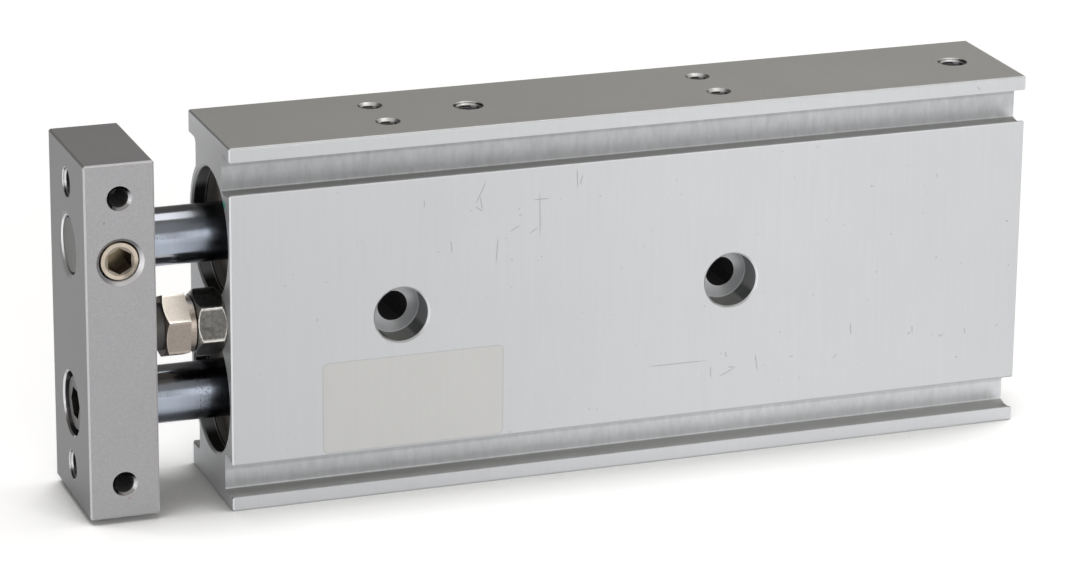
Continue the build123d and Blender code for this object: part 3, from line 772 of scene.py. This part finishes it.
# Painted shadow along the top of the lower rod, and a dark painted reflection near the body's end
shadowed = lower_rod * facing_z.ramp(0.58, 0.68) * facing_z.ramp(0.93, 0.86)
painted_bore_reflection = x.ramp(-69.0, -62.5) * x.ramp(-10.0, -30.0)
by_cover = x.ramp(-64.6, -63.8) * x.ramp(-61.0, -62.5)
spots = chrome.noise(spot, 2600.0, 3.0).ramp(0.5, 0.7) * by_cover * lower_rod
shade = 1.0 + wheel_marks.swing(0.12) + oil.swing(0.12)
shade = shade - painted_bore_reflection * 0.35 - spots * 0.35 - underside * 0.35 - shadowed * 0.45
painted_sky_reflection, painted_roof_reflection = (0.345, 0.382, 0.45, 1), (0.30, 0.31, 0.34, 1)
plated = chrome.tinted(chrome.mix(overhead, painted_sky_reflection, painted_roof_reflection), shade)
bare = chrome.tinted(
    (0.128, 0.13, 0.127), 1.0 + lathe_lines.swing(0.3) + end_grain.swing(0.6)
)
# Painted shade round the rim of each rod end that sits in the plate's outer face
end_rim = from_rod.ramp(4.5, 4.65) * (x < -83.0)
chrome.set(
    Base_Color=chrome.tinted(chrome.mix(turned_end, plated, bare), 1.0 - end_rim * 0.75),
    Metallic=1.0 - turned_end * 0.5,
    Roughness=0.12
    + wheel_marks.swing(0.05)
    + oil.swing(0.06)
    + painted_bore_reflection * 0.1
    + spots * 0.2
    + turned_end * 0.35,
    Normal=chrome.bump(
        wheel_marks * (1.0 - turned_end) + end_grain * turned_end * 4.0, 0.0000015
    ),
)
chrome.wear(*pair("piston_rod"))


# End plate: sawn and milled aluminium, blasted and anodised a shade darker than the body.
# Its edges and the mouths of its holes are cut bright and carry painted highlights and shade,
# and its holes and outer face are darkened as painted shade.
plate_middle_x = -78.75
plate_half_x = 6.0
plate_front_y = -11.75
plate_tap_reach = 25.0
lower_rod_z = middle_z - bore_offset
upper_rod_z = middle_z + bore_offset
plate_finish = Finish("blasted_anodised_aluminium")
x, y, z = plate_finish.millimetres()
spot = plate_finish.place()
facing_x, facing_y, facing_z = plate_finish.facing()
broken_edge = plate_finish.broken_edge()
across = x - plate_middle_x
outer_half = across < 0.0
below_front = y > plate_front_y + 0.02
from_tap_z = abs(z - middle_z) - plate_tap_reach
from_m5 = y.from_axis(from_tap_z)
from_m4 = across.from_axis(from_tap_z)
from_cap = y.from_axis(z - lower_rod_z)
from_rod = y.from_axis(z - upper_rod_z)
from_clamp = across.from_axis(z - upper_rod_z)

# Cut surfaces inside its taps, the cap screw's seat and the clamp screw's hole, darkened in
# their colour as painted shade
m5_hole = from_m5.ramp(m5_mouth_r + soft_edge, m5_mouth_r) * (abs(across) < plate_half_x - 0.02)
m4_hole = from_m4.ramp(m4_mouth_r + soft_edge, m4_mouth_r) * below_front * (y < -2.0)
head_hole = from_cap.ramp(5.9, 5.8) * outer_half * (across > 0.02 - plate_half_x)
clamp_hole = from_clamp.ramp(3.6, 3.45) * below_front * (y < -5.0)
cut_and_painted_shade = m5_hole | m4_hole | head_hole | clamp_hole
# Painted highlights on edges facing front or back; all the other edges a little darker
side_edge = broken_edge * abs(facing_y).ramp(0.45, 0.6)
# A dark painted shade line where each M5 thread in the outer face begins
thread_start = broken_edge * abs(from_m5 - m5_thread_start_r).ramp(0.13, 0.05) * outer_half
# Painted highlight on the lit side of the front holes' rims, painted shade on the other side
front_rims = broken_edge * (from_clamp.ramp(4.3, 4.2) | from_m4.ramp(2.35, 2.25)) * (y < 0.0)
# The rims of the holes in the outer face are cut bright and painted lighter as highlights
hole_rims = from_rod.ramp(5.9, 5.8) | from_cap.ramp(6.3, 6.2) | from_m5.ramp(3.0, 2.9)
hole_rims = broken_edge * hole_rims * outer_half
# Painted shade: faces that look away from the body, as the outer face, are darker
painted_shade_side = (-facing_x).ramp(0.9, 0.97)
lit = (facing_z - facing_x).ramp(-0.1, 0.9)

# Its blasted grain, a few stains, and two specks of rust on the front
grain = plate_finish.noise(spot, 3600.0, 3.0)
fine = plate_finish.noise(spot, 7000.0, 2.0)
clouds = plate_finish.noise(spot, 60.0, 2.0)
stains = plate_finish.noise(spot, 210.0, 4.0).ramp(0.70, 0.78)
rust = (x + 78.03).from_axis(z - 4.39) & (x + 81.4).from_axis(z - 52.97)
rust = rust.ramp(0.28, 0.1) * (y < -11.7)
shade = 1.0 + clouds.swing(0.08) + grain.swing(0.42) + fine.swing(0.25) - stains * 0.08
shade = shade * (1.0 - cut_and_painted_shade * 0.75) * (1.0 - painted_shade_side * 0.3)
shade = shade + side_edge - broken_edge * 0.2 + hole_rims * 0.9
shade = shade + front_rims * (lit * 1.9 - 1.2) - thread_start * 0.9
skin = plate_finish.tinted((0.345, 0.342, 0.355), shade)
plate_finish.set(
    Base_Color=plate_finish.mix(rust * 0.55, skin, (0.25, 0.13, 0.06, 1)),
    Metallic=0.4 + cut_and_painted_shade * 0.4 + hole_rims * 0.3 + front_rims * 0.3,
    Roughness=0.46 + grain.swing(0.1) - broken_edge * 0.12 - cut_and_painted_shade * 0.14,
    Normal=plate_finish.bump(grain + fine * 0.5, 0.00001),
)
plate_finish.wear("end_plate")

# Threads in the plate: two M5 taps in its outer face and two M4 taps in its front edge
plate_outer_x = plate_middle_x - plate_half_x
for name, mouth_x, mouth_y, inward, size, turns in (
    ("plate_m5_threads", plate_outer_x, 0, (1, 0, 0), m5_size, 13),
    ("plate_m4_threads", plate_middle_x, plate_front_y, (0, 1, 0), m4_size, 10),
):
    shape = bmesh.new()
    for tap_z in (middle_z - plate_tap_reach, middle_z + plate_tap_reach):
        thread(shape, (mouth_x, mouth_y, tap_z), inward, *size, turns)
    piece(name, shape, cut_finish, "rods_and_plate")


# Cap screw: blackened steel with a forged hexagon socket, its rim rubbed grey. It draws the
# lower rod into the plate.
cap_finish = Finish("blackened_screw_steel")
_, y, z = cap_finish.millimetres()
spot = cap_finish.place()
grain = cap_finish.noise(spot, 2200.0, 3.0)
rubbed_rim = y.from_axis(z - lower_rod_z).ramp(4.3, 4.75)
rubbed_rim = rubbed_rim * cap_finish.noise(spot, 700.0, 2.0).ramp(0.35, 0.6)
cap_finish.set(
    Base_Color=cap_finish.tinted(
        (0.05, 0.047, 0.046), 1.0 + grain.swing(0.5) + rubbed_rim * 1.5
    ),
    Metallic=0.8,
    Roughness=0.36 + grain.swing(0.15),
    Normal=cap_finish.bump(grain, 0.000006),
)
cap_finish.wear("rod_cap_screw")


# Clamp screw: a headless steel screw with a warm nickel plate. Its hexagon socket is darkened
# inside as painted shade, with a painted highlight on its lower left wall, and its face carries
# a painted reflection at the lower right and painted shade round its mouth and in the gap at
# its rim. It is screwed into the plate's front edge and grips the upper rod.
clamp_finish = Finish("warm_nickel_plate")
x, y, z = clamp_finish.millimetres()
facing_x, _, facing_z = clamp_finish.facing()
across = x - plate_middle_x
from_clamp = across.from_axis(z - upper_rod_z)
socket_face_y = -11.1
in_socket = from_clamp.ramp(2.45, 2.3) * (y > socket_face_y)
to_low_right = across * 0.75 - (z - upper_rod_z) * 0.66
# Painted shade on the socket's right walls and towards its lower right
socket_dark = (-facing_x).ramp(0.2, 0.45) * 0.85 | to_low_right.ramp(-1.0, 1.4) * 0.8
socket_dark = in_socket * socket_dark
# Painted highlight on the socket's lower left wall
painted_socket_highlight = in_socket * facing_x.ramp(0.2, 0.45) * facing_z.ramp(0.5, 0.8)
# Painted shade round the mouth and at the rim's gap; a painted reflection on the face's lower
# right
socket_mouth = from_clamp.ramp(2.6, 2.45) * (y < socket_face_y)
face_dark = (1.0 - in_socket) * (to_low_right / from_clamp).ramp(0.7, 0.97)
rim = from_clamp.ramp(3.12, 3.25)
lathe_lines = clamp_finish.noise(clamp_finish.vector(from_clamp * 7.0, 0.0, 0.0), 1.0, 2.0)
clouds = clamp_finish.noise(clamp_finish.place(), 700.0, 3.0)
shade = 1.0 + clouds.swing(0.5) + lathe_lines.swing(0.25)
for mask, loss in (
    (in_socket, 0.5 + clouds * 0.4),
    (socket_dark, 1.0),
    (painted_socket_highlight, -2.2),
    (socket_mouth, 0.5),
    (face_dark, 0.45),
    (rim, 0.7),
):
    shade = shade * (1.0 - mask * loss)
face_nickel, socket_bronze = (0.50, 0.435, 0.36, 1), (0.56, 0.44, 0.29, 1)
clamp_finish.set(
    Base_Color=clamp_finish.tinted(clamp_finish.mix(in_socket, face_nickel, socket_bronze), shade),
    Metallic=1.0,
    Roughness=0.27 + clouds.swing(0.15),
    Normal=clamp_finish.bump(lathe_lines + clouds, 0.000005),
)
clamp_finish.wear("rod_clamp_screw")


# Stroke adjuster: a nickel-plated hexagon bolt, screwed into the body, and its lock nut, which
# is mottled and oily, with corners that a spanner has worn bright. The bolt's flats, corners
# and head edge carry painted light and shade; the nut's dark colour is painted shade, and its
# darker top flat a painted reflection.
adjuster_y = -5.5
across_flats_r = 5.0
bolt_finish = Finish("nickel_plate")
x, y, z = bolt_finish.millimetres()
spot = bolt_finish.place()
facing_x, _, facing_z = bolt_finish.facing()
# Painted light and shade: flats that face up get the light nickel colour, the rest a dark one
painted_top_light = facing_z.ramp(0.55, 0.72) * abs(facing_x).ramp(0.4, 0.2)
from_bolt = (y - adjuster_y).from_axis(z - middle_z)
# Painted highlights on the hexagon's corners and along the edge of the head's chamfer
corner = from_bolt.ramp(5.5, 5.72)
head_end_x = rod_end_x - 10.5
head_turned = (from_bolt - across_flats_r) * tan(radians(30))
head_end = abs(head_end_x - x + head_turned).ramp(0.2, 0.05) * (from_bolt > 4.9)
sparkle = bolt_finish.noise(spot, 3800.0, 2.0)
brush = bolt_finish.noise(bolt_finish.scaled(spot, (2500, 300, 300)), 1.0, 3.0)
clouds = bolt_finish.noise(spot, 500.0, 2.0)
bolt_finish.set(
    Base_Color=bolt_finish.tinted(
        bolt_finish.mix(painted_top_light, (0.285, 0.25, 0.22, 1), (0.80, 0.725, 0.655, 1)),
        1.0 + clouds.swing(0.2) + sparkle.swing(0.5) + (corner | head_end) * 0.4,
    ),
    Metallic=1.0,
    Roughness=0.36 + clouds.swing(0.12) - corner * 0.08,
    Normal=bolt_finish.bump(brush + sparkle, 0.000006),
)
bolt_finish.wear("adjuster_bolt")

nut_finish = Finish("worn_nut_steel_in_painted_shade")
x, y, z = nut_finish.millimetres()
spot = nut_finish.place()
_, _, facing_z = nut_finish.facing()
from_nut = (y - adjuster_y).from_axis(z - middle_z)
corner = from_nut.ramp(5.5, 5.7)
nut_width = 5.0
nut_reach = rod_end_x - x
turned = (from_nut - across_flats_r) * tan(radians(42))
turned_corner = abs(nut_reach - turned) & abs(nut_reach - nut_width + turned)
turned_corner = turned_corner.ramp(0.26, 0.06) * (from_nut > 4.9)
mottle = nut_finish.noise(spot, 1300.0, 4.0, 0.65)
clouds = nut_finish.noise(spot, 420.0, 3.0)
# Painted reflection: the nut's top flat is darker
top_flat = facing_z.ramp(0.75, 0.9)
worn = (corner | turned_corner) * (0.5 + mottle * 0.9)
# Painted shade: the nut's base colour is dark
nut_finish.set(
    Base_Color=nut_finish.tinted(
        (0.088, 0.085, 0.08),
        1.0 + mottle.swing(2.2) + clouds.swing(0.6) + worn * 3.4 - top_flat * 0.4,
    ),
    Metallic=0.9,
    Roughness=0.42 + mottle.swing(0.35) - worn * 0.12,
    Normal=nut_finish.bump(mottle, 0.00002),
)
nut_finish.wear("adjuster_nut")
